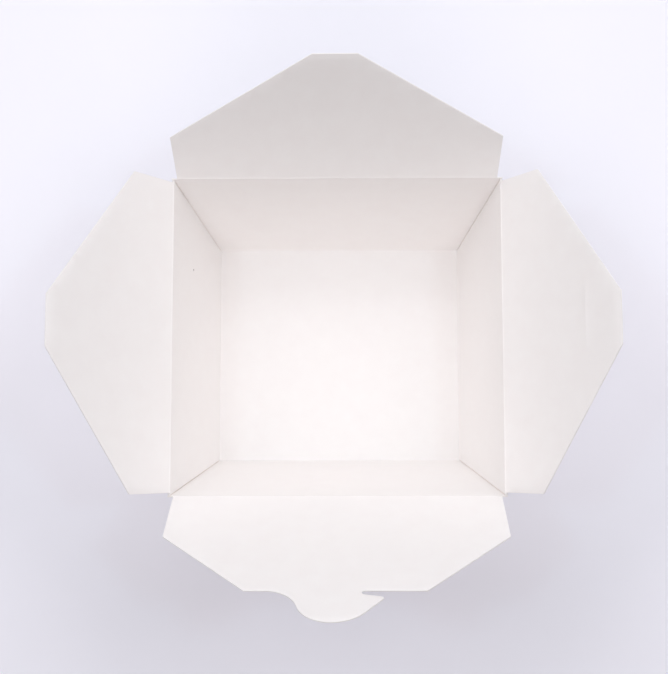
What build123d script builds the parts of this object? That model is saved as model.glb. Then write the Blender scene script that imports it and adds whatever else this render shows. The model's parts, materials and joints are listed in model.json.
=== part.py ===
from build123d import *
import os
from math import atan, cos, hypot, pi, radians, sin, tan

# Takeout food box: one sheet of coated board folded into a flared tray, with four hinged top flaps.
# Frame: +Z up, origin at the centre of the floor's underside, the tongued front flap towards -Y.
# Lengths are millimetres, and spans are taken at the middle of the board's thickness.

# Board
board = 0.45               # thickness of the coated board
fold_inside = 0.2          # inside radius of the folds round the floor
crease_gap = 0.1           # opening between a wall's rounded rim and its flap's rounded edge
stack_clearance = 0.15     # room between flaps that lie on each other when closed
edge_round_share = 0.9     # rims and crease edges are rounded to this part of half the board

# Tray
floor_width = 100.0        # between the left and right floor folds
floor_depth = 89.0         # between the front and back floor folds
mouth_width = 124.0        # between the left and right flap creases
mouth_depth = 120.0        # between the front and back flap creases
tray_height = 65.0         # underside of the floor to the front and back creases

# Web corners: double-layer triangles folded flat against the outside of the left and right walls
web_start = 2.0            # height up the wall where the web's point has room for two layers
web_drop = 1.5             # how far the web's edge stays below the rim, along the corner
slit_width = 0.15          # gap along each inside corner, beside the side wall's hairpin fold
slit_depth = 0.28

# Flap angles above the horizontal, as the box stands open
left_angle = 50.3
right_angle = 52.8
back_angle = 55.6
front_angle = 58.7

# Flap outlines: distances from the crease, and half widths along it
flap_base_inset = 1.4      # a flap's crease stops this far short of the tray's corner
flap_corner_round = 0.7
side_flap_clearance = 0.25  # side flap's shoulder to the front and back walls, when closed
side_shoulder = 19.6
side_reach = 58.4
side_end_half = 9.1
back_shoulder = 20.2
back_shoulder_inset = 0.7
back_reach = 57.6
back_end_half = 8.0
front_shoulder = 27.3
front_shoulder_inset = 1.0
front_reach = 60.3
front_end_half = 30.3

# Locking tongue on the front flap's end, with places measured across from the flap's middle
tongue_reach = 17.3        # the tongue's tip beyond the flap's end
tongue_root = -15.0        # where the left side's slope meets the flap's end
tongue_left_toe = -10.2    # where that slope meets the tip
tongue_right_toe = 5.3     # where the right side's slope meets the tip
hook_tip = 16.6            # point of the hook on the right side
hook_fall = 1.6            # the hook's upper edge falls away by this much towards its point
hook_round = 0.9
slot_root = 8.7            # inner end of the slot above the hook
slot_width = 1.9
tip_flat = 0.4             # short straight at the tip, between its two arcs
left_arc_share = 0.48      # part of the left slope that each of its two arcs takes up
slot_arc_share = 0.48      # part of the slot's width that each round of its inner end takes up

# Worked out from the sizes above
half_board = board / 2
edge_round = edge_round_share * half_board
rim_height = tray_height - half_board - crease_gap
side_drop = board + stack_clearance
side_crease_height = tray_height - side_drop
side_rim_height = rim_height - side_drop
side_rim_length = mouth_depth - 2 * flap_base_inset + 2 * crease_gap
front_slope = atan((mouth_depth - floor_depth) / 2 / (tray_height - half_board))
side_slope = atan((mouth_width - floor_width) / 2 / (side_crease_height - half_board))

RIGHT = Vector(1, 0, 0)
LEFT = Vector(-1, 0, 0)
BACK = Vector(0, 1, 0)
FRONT = Vector(0, -1, 0)
UP = Vector(0, 0, 1)
STANDING = (Align.CENTER, Align.CENTER, Align.MIN)


def wall_half(floor_half, slope, height, outwards):
    """Half span between two facing walls at a height, moved outwards from the board's middle."""
    return floor_half + (height - half_board) * tan(slope) + outwards / cos(slope)


def wall_plane(outward, floor_half, slope):
    """Plane through the middle of a wall: x along its fold, y up the wall, z outwards."""
    return Plane(
        origin=outward * floor_half + UP * half_board,
        x_dir=outward.rotate(Axis.Z, 90),
        z_dir=outward * cos(slope) - UP * sin(slope),
    )


def flap_plane(outward, crease_half, crease_height, angle):
    """Plane through the middle of an open flap: x along its crease, y away from it, z outwards."""
    return Plane(
        origin=outward * crease_half + UP * crease_height,
        x_dir=outward.rotate(Axis.Z, 90),
        z_dir=outward * sin(radians(angle)) - UP * cos(radians(angle)),
    )


right_wall_plane = wall_plane(RIGHT, floor_width / 2, side_slope)
left_wall_plane = wall_plane(LEFT, floor_width / 2, side_slope)
front_wall_plane = wall_plane(FRONT, floor_depth / 2, front_slope)
back_wall_plane = wall_plane(BACK, floor_depth / 2, front_slope)
wall_planes = [right_wall_plane, left_wall_plane, front_wall_plane, back_wall_plane]

# Web at the right wall's front corner, drawn on that wall's outer face. In the flat sheet it fills
# the angle that the two leaning panels leave at the corner, and it folds in half along its middle.
front_lean = atan(cos(front_slope) * tan(side_slope))
side_lean = atan(cos(side_slope) * tan(front_slope))
web_half_angle = (pi / 2 - front_lean - side_lean) / 2
fold_lean = web_half_angle - side_lean
corner_length = (side_crease_height - half_board) / cos(side_slope) / cos(side_lean)
web_edge = corner_length - web_drop
web_fold = web_edge * cos(web_half_angle)
web_trim = 2 * board       # spare width that the front wall's plane cuts off
web_outline = [
    (-floor_depth / 2 - web_start * tan(side_lean) - web_trim, web_start),
    (-floor_depth / 2 - web_edge * sin(side_lean) - web_trim, web_edge * cos(side_lean)),
    (-floor_depth / 2 - web_edge * sin(side_lean), web_edge * cos(side_lean)),
    (-floor_depth / 2 + web_fold * sin(fold_lean), web_fold * cos(fold_lean)),
    (-floor_depth / 2 + web_start * tan(fold_lean), web_start),
]

with BuildPart() as web:
    with BuildSketch(right_wall_plane.offset(half_board)):
        with BuildLine():
            Polyline(*web_outline, close=True)
        make_face()
    extrude(amount=2 * board)
    split(bisect_by=front_wall_plane.offset(half_board), keep=Keep.BOTTOM)
    web_face = web.faces().sort_by(Axis(right_wall_plane.origin, right_wall_plane.z_dir))[-1]
    fillet(web_face.edges().sort_by(SortBy.LENGTH)[-2:], radius=board)
    mirror(about=Plane.XZ)
    mirror(about=Plane.YZ)

# Slit along the inside of that corner, where the side wall's hairpin fold meets the front wall
slit_low = web_start + board
slit_high = corner_length * cos(side_lean)
slit_near = edge_round / cos(side_lean)
slit_far = (half_board + slit_width) / cos(side_lean)
slit_outline = [
    (-floor_depth / 2 - slit_low * tan(side_lean) + slit_near, slit_low),
    (-floor_depth / 2 - slit_high * tan(side_lean) + slit_near, slit_high),
    (-floor_depth / 2 - slit_high * tan(side_lean) + slit_far, slit_high),
    (-floor_depth / 2 - slit_low * tan(side_lean) + slit_far, slit_low),
]

with BuildPart() as slit:
    with BuildSketch(right_wall_plane.offset(slit_depth - half_board)):
        with BuildLine():
            Polyline(*slit_outline, close=True)
        make_face()
    extrude(amount=-board)
    mirror(about=Plane.XZ)
    mirror(about=Plane.YZ)

# Space inside the tray, with the folds' inside radius along the floor
with BuildPart() as cavity:
    with Locations((0, 0, board)):
        Box(2 * mouth_width, 2 * mouth_depth, tray_height, align=STANDING)
    for plane in wall_planes:
        split(bisect_by=plane.offset(-half_board), keep=Keep.BOTTOM)
    fillet(cavity.faces().sort_by(Axis.Z)[0].edges(), radius=fold_inside)

# Tray: floor and four leaning walls of one board's thickness, with rounded folds and rims
with BuildPart() as tray:
    Box(2 * mouth_width, 2 * mouth_depth, rim_height, align=STANDING)
    for plane in wall_planes:
        split(bisect_by=plane.offset(half_board), keep=Keep.BOTTOM)
    fillet(tray.faces().sort_by(Axis.Z)[0].edges(), radius=fold_inside + board)
    add(cavity.part, mode=Mode.SUBTRACT)
    with Locations((0, 0, side_rim_height)):
        Box(2 * mouth_width, side_rim_length, tray_height, align=STANDING, mode=Mode.SUBTRACT)
    front_rims = tray.faces().filter_by(Plane.XY).group_by(Axis.Z)[-1]
    fillet(front_rims.edges().filter_by(Axis.X), radius=edge_round)
    side_rims = tray.faces().filter_by(Plane.XY).group_by(Axis.Z)[-2]
    fillet(side_rims.edges().filter_by(Axis.Y), radius=edge_round)
    add(slit.part, mode=Mode.SUBTRACT)
    add(web.part)

# Flap outlines, from the crease's left end
side_base_half = mouth_depth / 2 - flap_base_inset
long_base_half = mouth_width / 2 - flap_base_inset
side_gap_half = wall_half(floor_depth / 2, front_slope, side_crease_height - half_board, -half_board)
side_shoulder_half = side_gap_half - side_flap_clearance
back_shoulder_half = mouth_width / 2 - back_shoulder_inset
front_shoulder_half = mouth_width / 2 - front_shoulder_inset


def plain_outline(base_half, shoulder_half, shoulder, end_half, reach):
    """Corners and radii of a flap that widens to its shoulders and tapers to a straight end."""
    corners = [
        (-base_half, -half_board),
        (base_half, -half_board),
        (shoulder_half, shoulder),
        (end_half, reach),
        (-end_half, reach),
        (-shoulder_half, shoulder),
    ]
    return corners, [0, 0] + 4 * [flap_corner_round]


def tongue_outline():
    """Corners and radii of the locking tongue, from the slot on its right round to its left root."""
    tip = front_reach + tongue_reach
    hook_edge = front_reach + slot_width
    left_run = hypot(tongue_left_toe - tongue_root, tongue_reach)
    left_turn = atan(tongue_reach / (tongue_left_toe - tongue_root))
    right_turn = atan((tip - hook_edge - hook_fall) / (hook_tip - tongue_right_toe))
    left_tangent = left_arc_share * left_run
    right_tangent = tongue_right_toe - tongue_left_toe - left_tangent - tip_flat
    left_round = left_tangent / tan(left_turn / 2)
    right_round = right_tangent / tan(right_turn / 2)
    slot_round = slot_arc_share * slot_width
    corners = [
        (slot_root, front_reach),
        (slot_root, hook_edge),
        (hook_tip, hook_edge + hook_fall),
        (tongue_right_toe, tip),
        (tongue_left_toe, tip),
        (tongue_root, front_reach),
    ]
    return corners, [slot_round, slot_round, hook_round, right_round, left_round, left_round]


def folded_flap(plane, corners, radii):
    """Flap of one board's thickness, with a rounded edge along its crease."""
    with BuildPart() as flap:
        with BuildSketch(plane):
            with BuildLine():
                FilletPolyline(*corners, radius=radii, close=True)
            make_face()
        extrude(amount=half_board, both=True)
        crease_face = flap.faces().sort_by(Axis(plane.origin, plane.y_dir))[0]
        fillet(crease_face.edges().filter_by(Axis(plane.origin, plane.x_dir)), radius=edge_round)
    return flap


# Left and right flaps, which close first
side_corners, side_radii = plain_outline(
    side_base_half, side_shoulder_half, side_shoulder, side_end_half, side_reach
)
left_flap = folded_flap(
    flap_plane(LEFT, mouth_width / 2, side_crease_height, left_angle), side_corners, side_radii
)
right_flap = folded_flap(
    flap_plane(RIGHT, mouth_width / 2, side_crease_height, right_angle), side_corners, side_radii
)

# Back flap
back_corners, back_radii = plain_outline(
    long_base_half, back_shoulder_half, back_shoulder, back_end_half, back_reach
)
back_flap = folded_flap(
    flap_plane(BACK, mouth_depth / 2, tray_height, back_angle), back_corners, back_radii
)

# Front flap, with the locking tongue in the middle of its end
front_corners, front_radii = plain_outline(
    long_base_half, front_shoulder_half, front_shoulder, front_end_half, front_reach
)
tongue_corners, tongue_radii = tongue_outline()
end_corner = front_corners.index((-front_end_half, front_reach))
front_flap = folded_flap(
    flap_plane(FRONT, mouth_depth / 2, tray_height, front_angle),
    front_corners[:end_corner] + tongue_corners + front_corners[end_corner:],
    front_radii[:end_corner] + tongue_radii + front_radii[end_corner:],
)

tray.part.label = "tray"
left_flap.part.label = "left_flap"
right_flap.part.label = "right_flap"
back_flap.part.label = "back_flap"
front_flap.part.label = "front_flap"

os.makedirs("parts", exist_ok=True)
export_step(tray.part, "parts/tray.step")
export_step(left_flap.part, "parts/left_flap.step")
export_step(right_flap.part, "parts/right_flap.step")
export_step(back_flap.part, "parts/back_flap.step")
export_step(front_flap.part, "parts/front_flap.step")
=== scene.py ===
"""Takeout food box of folded coated board: its meshes, finish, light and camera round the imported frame.

Sizes in the classes are millimetres, as a carton maker writes them. Finished meshes are in metres.
"""

from __future__ import annotations

import json
import logging
import math
from collections.abc import Callable, Sequence
from dataclasses import dataclass, field
from enum import Enum, IntEnum

import bmesh
import bpy
import numpy as np
from mathutils import Matrix, Vector

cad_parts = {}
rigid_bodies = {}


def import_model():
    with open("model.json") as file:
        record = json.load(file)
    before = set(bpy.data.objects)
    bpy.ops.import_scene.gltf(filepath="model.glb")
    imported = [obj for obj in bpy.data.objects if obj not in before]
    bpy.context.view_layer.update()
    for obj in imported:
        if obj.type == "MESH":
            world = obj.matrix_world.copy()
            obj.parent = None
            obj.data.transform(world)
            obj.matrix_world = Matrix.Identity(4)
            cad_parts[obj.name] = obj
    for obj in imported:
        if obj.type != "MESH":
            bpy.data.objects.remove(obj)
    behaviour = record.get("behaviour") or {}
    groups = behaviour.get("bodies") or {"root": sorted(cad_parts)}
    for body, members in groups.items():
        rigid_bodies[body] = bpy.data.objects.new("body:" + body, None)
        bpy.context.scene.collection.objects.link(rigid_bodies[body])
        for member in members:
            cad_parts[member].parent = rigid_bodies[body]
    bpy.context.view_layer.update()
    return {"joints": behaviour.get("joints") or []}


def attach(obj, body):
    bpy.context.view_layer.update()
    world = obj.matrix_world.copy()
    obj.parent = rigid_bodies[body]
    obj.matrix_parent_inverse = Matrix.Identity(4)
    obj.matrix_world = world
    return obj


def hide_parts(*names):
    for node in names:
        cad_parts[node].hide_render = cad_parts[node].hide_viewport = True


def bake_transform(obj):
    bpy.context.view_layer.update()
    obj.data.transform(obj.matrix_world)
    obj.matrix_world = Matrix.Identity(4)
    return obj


LOG = logging.getLogger("takeout_food_box")
MM = 0.001
TRAY_BODY = "tray"
SHARP_ANGLE = math.radians(32.0)
# Points nearer than this, in millimetres, count as one, and edges that turn less count as straight.
SAME_PLACE = 1e-4
STRAIGHT_TURN = 1e-6
# Sockets of a Mix node that carry its two colours and what it makes of them.
MIX_FIRST, MIX_SECOND, MIX_RESULT = 6, 7, 2

Point = tuple[float, float]
Place = tuple[float, float, float]
Sway = Callable[[np.ndarray], np.ndarray]


class Side(Enum):
    """A side of the box, by its outward direction on the floor."""

    LEFT = (-1.0, 0.0)
    RIGHT = (1.0, 0.0)
    BACK = (0.0, 1.0)
    FRONT = (0.0, -1.0)

    @property
    def outward(self) -> Vector:
        """Unit vector that points out of the box."""
        return Vector((*self.value, 0.0))

    @property
    def along(self) -> Vector:
        """Unit vector along the side's folds, to the right for someone inside the box facing it."""
        return Vector((-self.value[1], self.value[0], 0.0))

    @property
    def flap(self) -> str:
        """Name of the flap's body and of its solid."""
        return f"{self.name.lower()}_flap"

    @property
    def is_long(self) -> bool:
        """True for the front and back, whose walls run past the ends of the side walls."""
        return self in (Side.BACK, Side.FRONT)

    def in_frame(self, plane: Vector | Point) -> Vector:
        """Turns outward and upward distances into a vector of the box's frame."""
        return self.outward * plane[0] + Vector((0.0, 0.0, plane[1]))


class Surface(IntEnum):
    """What a face of the board shows, as the number of its material on the mesh."""

    COATED = 0
    RAW_EDGE = 1
    # Darker tan on the fold noses at the inside corners, which paints the shade along those corners.
    CRAZED_FOLD = 2


class EdgeKind(Enum):
    """How an edge of a panel ends, by what its faces show."""

    CUT = Surface.RAW_EDGE
    JOINED = Surface.COATED
    # A fold nose at an inside corner shows the painted corner shade.
    NOSE = Surface.CRAZED_FOLD


@dataclass(frozen=True)
class Board:
    """The coated board that the box is folded from.

    Attributes:
        thickness: Thickness of the board.
        cut_round: Round that the die leaves along a cut edge.
        nose_round: Round of a hairpin fold, seen from inside the box.
        mesh_step: Spacing of a panel's mesh lines.
    """

    # Every kind of edge has as many points, so that two kinds can meet at a corner.
    EDGE_POINTS = 6

    thickness: float = 0.45
    cut_round: float = 0.07
    nose_round: float = 0.28
    mesh_step: float = 4.0

    @property
    def half(self) -> float:
        """Half the thickness."""
        return self.thickness / 2

    def edge_profile(self, kind: EdgeKind) -> list[Point]:
        """Section of an edge from the inner face to the outer face.

        Args:
            kind: How the edge ends.

        Returns:
            Pairs of how far the point lies in from the outline, and its height above the middle.
        """
        half = self.half
        if kind is EdgeKind.JOINED:
            return [(0.0, height) for height in np.linspace(-half, half, self.EDGE_POINTS)]
        if kind is EdgeKind.NOSE:
            turns = np.radians(np.linspace(0.0, 90.0, self.EDGE_POINTS - 1))
            nose = self.nose_round
            arc = [(nose * (1 - math.sin(a)), nose * (1 - math.cos(a)) - half) for a in turns]
            return arc + [(0.0, half)]
        full = self.cut_round
        part = full * (1 - math.sqrt(0.5))
        lower = [(full, -half), (part, part - half), (0.0, full - half)]
        return lower + [(inset, -height) for inset, height in reversed(lower)]


@dataclass(frozen=True)
class Bead:
    """The low ridge that a creasing rule raises inside a fold, and its groove outside.

    Attributes:
        rise: Height of the ridge on the inner face.
        half_width: From the ridge's middle to its foot.
        groove: Depth of the groove on the outer face.
        groove_half_width: From the groove's middle to its lip.
    """

    rise: float
    half_width: float
    groove: float
    groove_half_width: float

    @staticmethod
    def swell(distance: float, half_width: float) -> float:
        """Smooth bump of height 1 at distance 0, and 0 from half_width on."""
        return math.cos(math.pi / 2 * min(1.0, abs(distance) / half_width)) ** 2

    def offsets(self, distance: float) -> Point:
        """How far the inner and the outer face move towards the inside, at a distance from the fold."""
        inner = self.rise * self.swell(distance, self.half_width)
        return inner, self.groove * self.swell(distance, self.groove_half_width)


@dataclass(frozen=True)
class Placement:
    """Where a flat panel stands: its own x runs along a fold, y away from it, and z out of the box."""

    origin: Vector
    along: Vector
    away: Vector

    def place(self, local: np.ndarray) -> np.ndarray:
        """Turns an array of points in the panel's own frame into points of the box's frame."""
        axes = np.array([self.along, self.away, self.along.cross(self.away)], float)
        return local @ axes + np.array(self.origin, float)


@dataclass
class Shell:
    """Vertices and faces of one or more closed meshes, in millimetres.

    Attributes:
        vertices: Arrays of points, in the order they were added.
        faces: Vertex numbers of each face.
        surfaces: What each face shows.
    """

    vertices: list[np.ndarray] = field(default_factory=list)
    faces: list[tuple[int, ...]] = field(default_factory=list)
    surfaces: list[Surface] = field(default_factory=list)

    def add(self, points: np.ndarray, faces: Sequence[Sequence[int]], surfaces: Sequence[Surface]) -> None:
        """Adds a mesh of its own numbering.

        Args:
            points: Points of the mesh.
            faces: Vertex numbers that start from 0 in this mesh.
            surfaces: What each face shows.
        """
        first = sum(len(block) for block in self.vertices)
        self.vertices.append(np.asarray(points, float))
        self.faces += [tuple(first + number for number in face) for face in faces]
        self.surfaces += list(surfaces)

    def to_object(self, name: str, materials: Sequence[bpy.types.Material]) -> bpy.types.Object:
        """Makes a smooth-shaded object, with its sharp edges marked.

        Args:
            name: Name of the piece.
            materials: Its materials, in the order of Surface.

        Returns:
            The object, at the origin.
        """
        mesh = bpy.data.meshes.new(name)
        mesh.from_pydata((np.concatenate(self.vertices) * MM).tolist(), [], self.faces)
        for material in materials:
            mesh.materials.append(material)
        mesh.polygons.foreach_set("material_index", [int(surface) for surface in self.surfaces])
        return link_mesh(name, mesh)


def link_mesh(name: str, mesh: bpy.types.Mesh) -> bpy.types.Object:
    """Shades a mesh smooth up to the sharp angle and puts it in the scene.

    Args:
        name: Name of the piece.
        mesh: Its finished mesh.

    Returns:
        The new object, at the origin.
    """
    mesh.polygons.foreach_set("use_smooth", [True] * len(mesh.polygons))
    mesh.set_sharp_from_angle(angle=SHARP_ANGLE)
    mesh.validate()
    mesh.update()
    piece = bpy.data.objects.new(name, mesh)
    bpy.context.scene.collection.objects.link(piece)
    return piece


def inset_outline(outline: np.ndarray, distances: np.ndarray) -> np.ndarray:
    """Moves each edge of a counter-clockwise outline inwards by its own distance.

    Args:
        outline: Corners of the outline.
        distances: For the edge that leaves each corner, how far it moves.

    Returns:
        The corners where the moved edges meet.
    """
    direction = np.roll(outline, -1, axis=0) - outline
    direction /= np.linalg.norm(direction, axis=1)[:, None]
    inward = np.stack([-direction[:, 1], direction[:, 0]], axis=1)
    before = np.roll(inward, 1, axis=0)
    before_distance = np.roll(distances, 1)
    turn = before[:, 0] * inward[:, 1] - before[:, 1] * inward[:, 0]
    straight = np.abs(turn) < STRAIGHT_TURN
    divisor = np.where(straight, 1.0, turn)
    shift_x = (before_distance * inward[:, 1] - distances * before[:, 1]) / divisor
    shift_y = (distances * before[:, 0] - before_distance * inward[:, 0]) / divisor
    bent = np.stack([shift_x, shift_y], axis=1)
    return outline + np.where(straight[:, None], inward * distances[:, None], bent)


def gridded_face(outline: np.ndarray, step: float, fine_lines: Sequence[float]) -> bmesh.types.BMesh:
    """Fills an outline with a face and cuts it along evenly spaced lines both ways.

    Args:
        outline: Corners, counter-clockwise.
        step: About how far apart the lines are.
        fine_lines: Heights of extra lines.

    Returns:
        The mesh, whose first vertices are the outline's corners.
    """
    grid = bmesh.new()
    corners = [grid.verts.new((x, y, 0.0)) for x, y in outline]
    grid.faces.new(corners)
    for axis in (0, 1):
        low, high = outline[:, axis].min(), outline[:, axis].max()
        count = max(1, round((high - low) / step))
        normal = Vector((float(axis == 0), float(axis == 1), 0.0))
        lines = [low + (high - low) * line / count for line in range(1, count)]
        for line in lines + (list(fine_lines) if axis == 1 else []):
            place = normal * line
            geometry = grid.verts[:] + grid.edges[:] + grid.faces[:]
            bmesh.ops.bisect_plane(grid, geom=geometry, dist=SAME_PLACE, plane_co=place, plane_no=normal)
    grid.verts.index_update()
    return grid


def boundary_walk(grid: bmesh.types.BMesh, corner_count: int) -> list[tuple[int, int, float]]:
    """Follows the outside of a gridded face, counter-clockwise from its first corner.

    Args:
        grid: The gridded face.
        corner_count: How many of its first vertices are corners of the outline.

    Returns:
        For each vertex on the outside: its number, the corner it follows, and how far along that
        corner's edge it lies, from 0 to 1.
    """
    following = {}
    for edge in grid.edges:
        if len(edge.link_loops) == 1:
            loop = edge.link_loops[0]
            following[loop.vert.index] = loop.link_loop_next.vert.index
    grid.verts.ensure_lookup_table()
    walk = []
    number = 0
    corner = 0
    while len(walk) < len(following):
        if number < corner_count:
            corner = number
        start = grid.verts[corner].co
        end = grid.verts[(corner + 1) % corner_count].co
        share = (grid.verts[number].co - start).length / (end - start).length
        walk.append((number, corner, share))
        number = following[number]
    return walk


@dataclass
class Panel:
    """One field of the board between its folds and cuts.

    Attributes:
        outline: Corners in the panel's own frame, counter-clockwise seen from outside the box.
        kinds: How the edge that leaves each corner ends.
        placement: Where the panel stands.
        sway: How far the board strays out of its plane at each point.
        fine_lines: Heights of extra mesh lines, for a mark finer than the grid.
    """

    outline: list[Point]
    kinds: list[EdgeKind]
    placement: Placement
    sway: Sway
    fine_lines: tuple[float, ...] = ()

    def add_to(self, shell: Shell, board: Board) -> None:
        """Adds the panel's closed mesh to a shell.

        Args:
            shell: Takes the mesh.
            board: The board's thickness and edges.
        """
        outline = np.array(self.outline, float)
        profiles = np.array([board.edge_profile(kind) for kind in self.kinds], float)
        rings = [inset_outline(outline, profiles[:, k, 0]) for k in range(profiles.shape[1])]
        grid = gridded_face(rings[0], board.mesh_step, self.fine_lines)
        walk = boundary_walk(grid, len(outline))
        flat = np.array([vertex.co[:2] for vertex in grid.verts], float)
        fields = [tuple(vertex.index for vertex in face.verts) for face in grid.faces]
        grid.free()

        # The inner face comes first, then the edge from inside to outside, then the outer face.
        numbers, corner, share = (np.array(column) for column in zip(*walk))
        after = (corner + 1) % len(outline)
        share = share[:, None]
        edges = [ring[corner] * (1 - share) + ring[after] * share for ring in rings]
        outer = flat.copy()
        outer[numbers] = edges[-1]
        blocks = [np.column_stack([flat, np.full(len(flat), -board.half)])]
        for k in range(1, len(rings) - 1):
            blocks.append(np.column_stack([edges[k], profiles[corner, k, 1]]))
        blocks.append(np.column_stack([outer, np.full(len(flat), board.half)]))
        local = np.concatenate(blocks)
        local[:, 2] += self.sway(local[:, :2])

        count = len(walk)
        outer_first = len(local) - len(flat)
        ring_numbers = [np.arange(first, first + count) for first in range(len(flat), outer_first, count)]
        ring_numbers = [numbers] + ring_numbers + [outer_first + numbers]
        faces = [tuple(reversed(face)) for face in fields]
        faces += [tuple(outer_first + number for number in face) for face in fields]
        surfaces = [Surface.COATED] * len(faces)
        for low, high in zip(ring_numbers, ring_numbers[1:]):
            for i in range(count):
                j = (i + 1) % count
                faces.append((low[i], low[j], high[j], high[i]))
                surfaces.append(self.kinds[corner[i]].value)
        shell.add(self.placement.place(local), faces, surfaces)


def rounded_outline(
    corners: Sequence[Point], radii: Sequence[float], step: float = 0.6, fewest: int = 3
) -> list[list[Point]]:
    """Rounds the corners of an outline.

    Args:
        corners: Its corners.
        radii: A radius for each corner, or 0.
        step: About how long each straight of an arc is.
        fewest: How many straights an arc has at least.

    Returns:
        For each corner, the points that take its place.
    """
    rounded = []
    count = len(corners)
    for i, radius in enumerate(radii):
        corner = Vector(corners[i])
        if radius == 0:
            rounded.append([tuple(corner)])
            continue
        back = (Vector(corners[i - 1]) - corner).normalized()
        ahead = (Vector(corners[(i + 1) % count]) - corner).normalized()
        opening = back.angle(ahead)
        centre = corner + (back + ahead).normalized() * (radius / math.sin(opening / 2))
        start = corner + back * (radius / math.tan(opening / 2)) - centre
        turn = math.pi - opening
        if back.cross(ahead) > 0:
            turn = -turn
        pieces = max(fewest, math.ceil(radius * abs(turn) / step))
        arc = []
        for k in range(pieces + 1):
            spoke = start.copy()
            spoke.rotate(Matrix.Rotation(turn * k / pieces, 2))
            arc.append(tuple(centre + spoke))
        rounded.append(arc)
    return rounded


def fold_section(
    start: Vector, end: Vector, reach: float, radius: float, board: Board, bead: Bead, steps: int = 30
) -> list[Point]:
    """Closed section of the board through a fold, in a plane of outward and upward distances.

    Args:
        start: Unit direction from the fold along the board on its lower side.
        end: Unit direction from the fold along the board on its upper side.
        reach: How far the section runs from the fold each way.
        radius: Bend radius at the board's middle.
        board: The board.
        bead: Ridge and groove along the fold.
        steps: How many pieces each face of the section has.

    Returns:
        Points along the inner face and back along the outer face.
    """
    travel = -start
    turn = math.atan2(travel.x * end.y - travel.y * end.x, travel.dot(end))
    hand = math.copysign(1.0, turn)
    tangent = radius * math.tan(abs(turn) / 2)
    arc = radius * abs(turn)
    length = 2 * (reach - tangent) + arc
    centre = start * tangent + Vector((-travel.y, travel.x)) * hand * radius
    inner, outer = [], []
    for i in range(steps + 1):
        distance = length * (i / steps - 0.5)
        share = min(1.0, max(0.0, distance / arc + 0.5))
        heading = travel.copy()
        heading.rotate(Matrix.Rotation(turn * share, 2))
        normal = Vector((-heading.y, heading.x))
        middle = centre - normal * hand * radius
        middle += heading * (distance - arc * (share - 0.5))
        rise, groove = bead.offsets(distance)
        inner.append(tuple(middle + normal * (board.half + rise)))
        outer.append(tuple(middle + normal * (groove - board.half)))
    return inner + outer[::-1]


def hex_to_linear(code: str) -> tuple[float, float, float, float]:
    """Turns an sRGB hex colour into a linear one.

    Args:
        code: Six hex digits after a hash sign.

    Returns:
        Red, green, blue and alpha.
    """
    channels = [int(code[i : i + 2], 16) / 255 for i in (1, 3, 5)]
    linear = [c / 12.92 if c <= 0.04045 else ((c + 0.055) / 1.055) ** 2.4 for c in channels]
    return (*linear, 1.0)


def set_inputs(node: bpy.types.Node, inputs: dict) -> None:
    """Sets or links a node's inputs.

    Args:
        node: The node.
        inputs: By socket name or number: a value, or an output socket to link from.
    """
    for name, value in inputs.items():
        if isinstance(value, bpy.types.NodeSocket):
            node.id_data.links.new(value, node.inputs[name])
        else:
            node.inputs[name].default_value = value


def add_node(
    tree: bpy.types.NodeTree, kind: str, inputs: dict | None = None, **settings: object
) -> bpy.types.Node:
    """Adds a node with its settings, and sets or links its inputs.

    Args:
        tree: The node tree.
        kind: Type name of the node.
        inputs: What its sockets get, as set_inputs takes them.
        settings: Attributes of the node itself.

    Returns:
        The new node.
    """
    node = tree.nodes.new(kind)
    for name, value in settings.items():
        setattr(node, name, value)
    set_inputs(node, inputs or {})
    return node


def new_material(name: str) -> tuple[bpy.types.Material, bpy.types.NodeTree, bpy.types.Node]:
    """Makes a material.

    Args:
        name: Its name.

    Returns:
        The material, its node tree and its main shader.
    """
    material = bpy.data.materials.new(name)
    material.use_nodes = True
    return material, material.node_tree, material.node_tree.nodes["Principled BSDF"]


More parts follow.
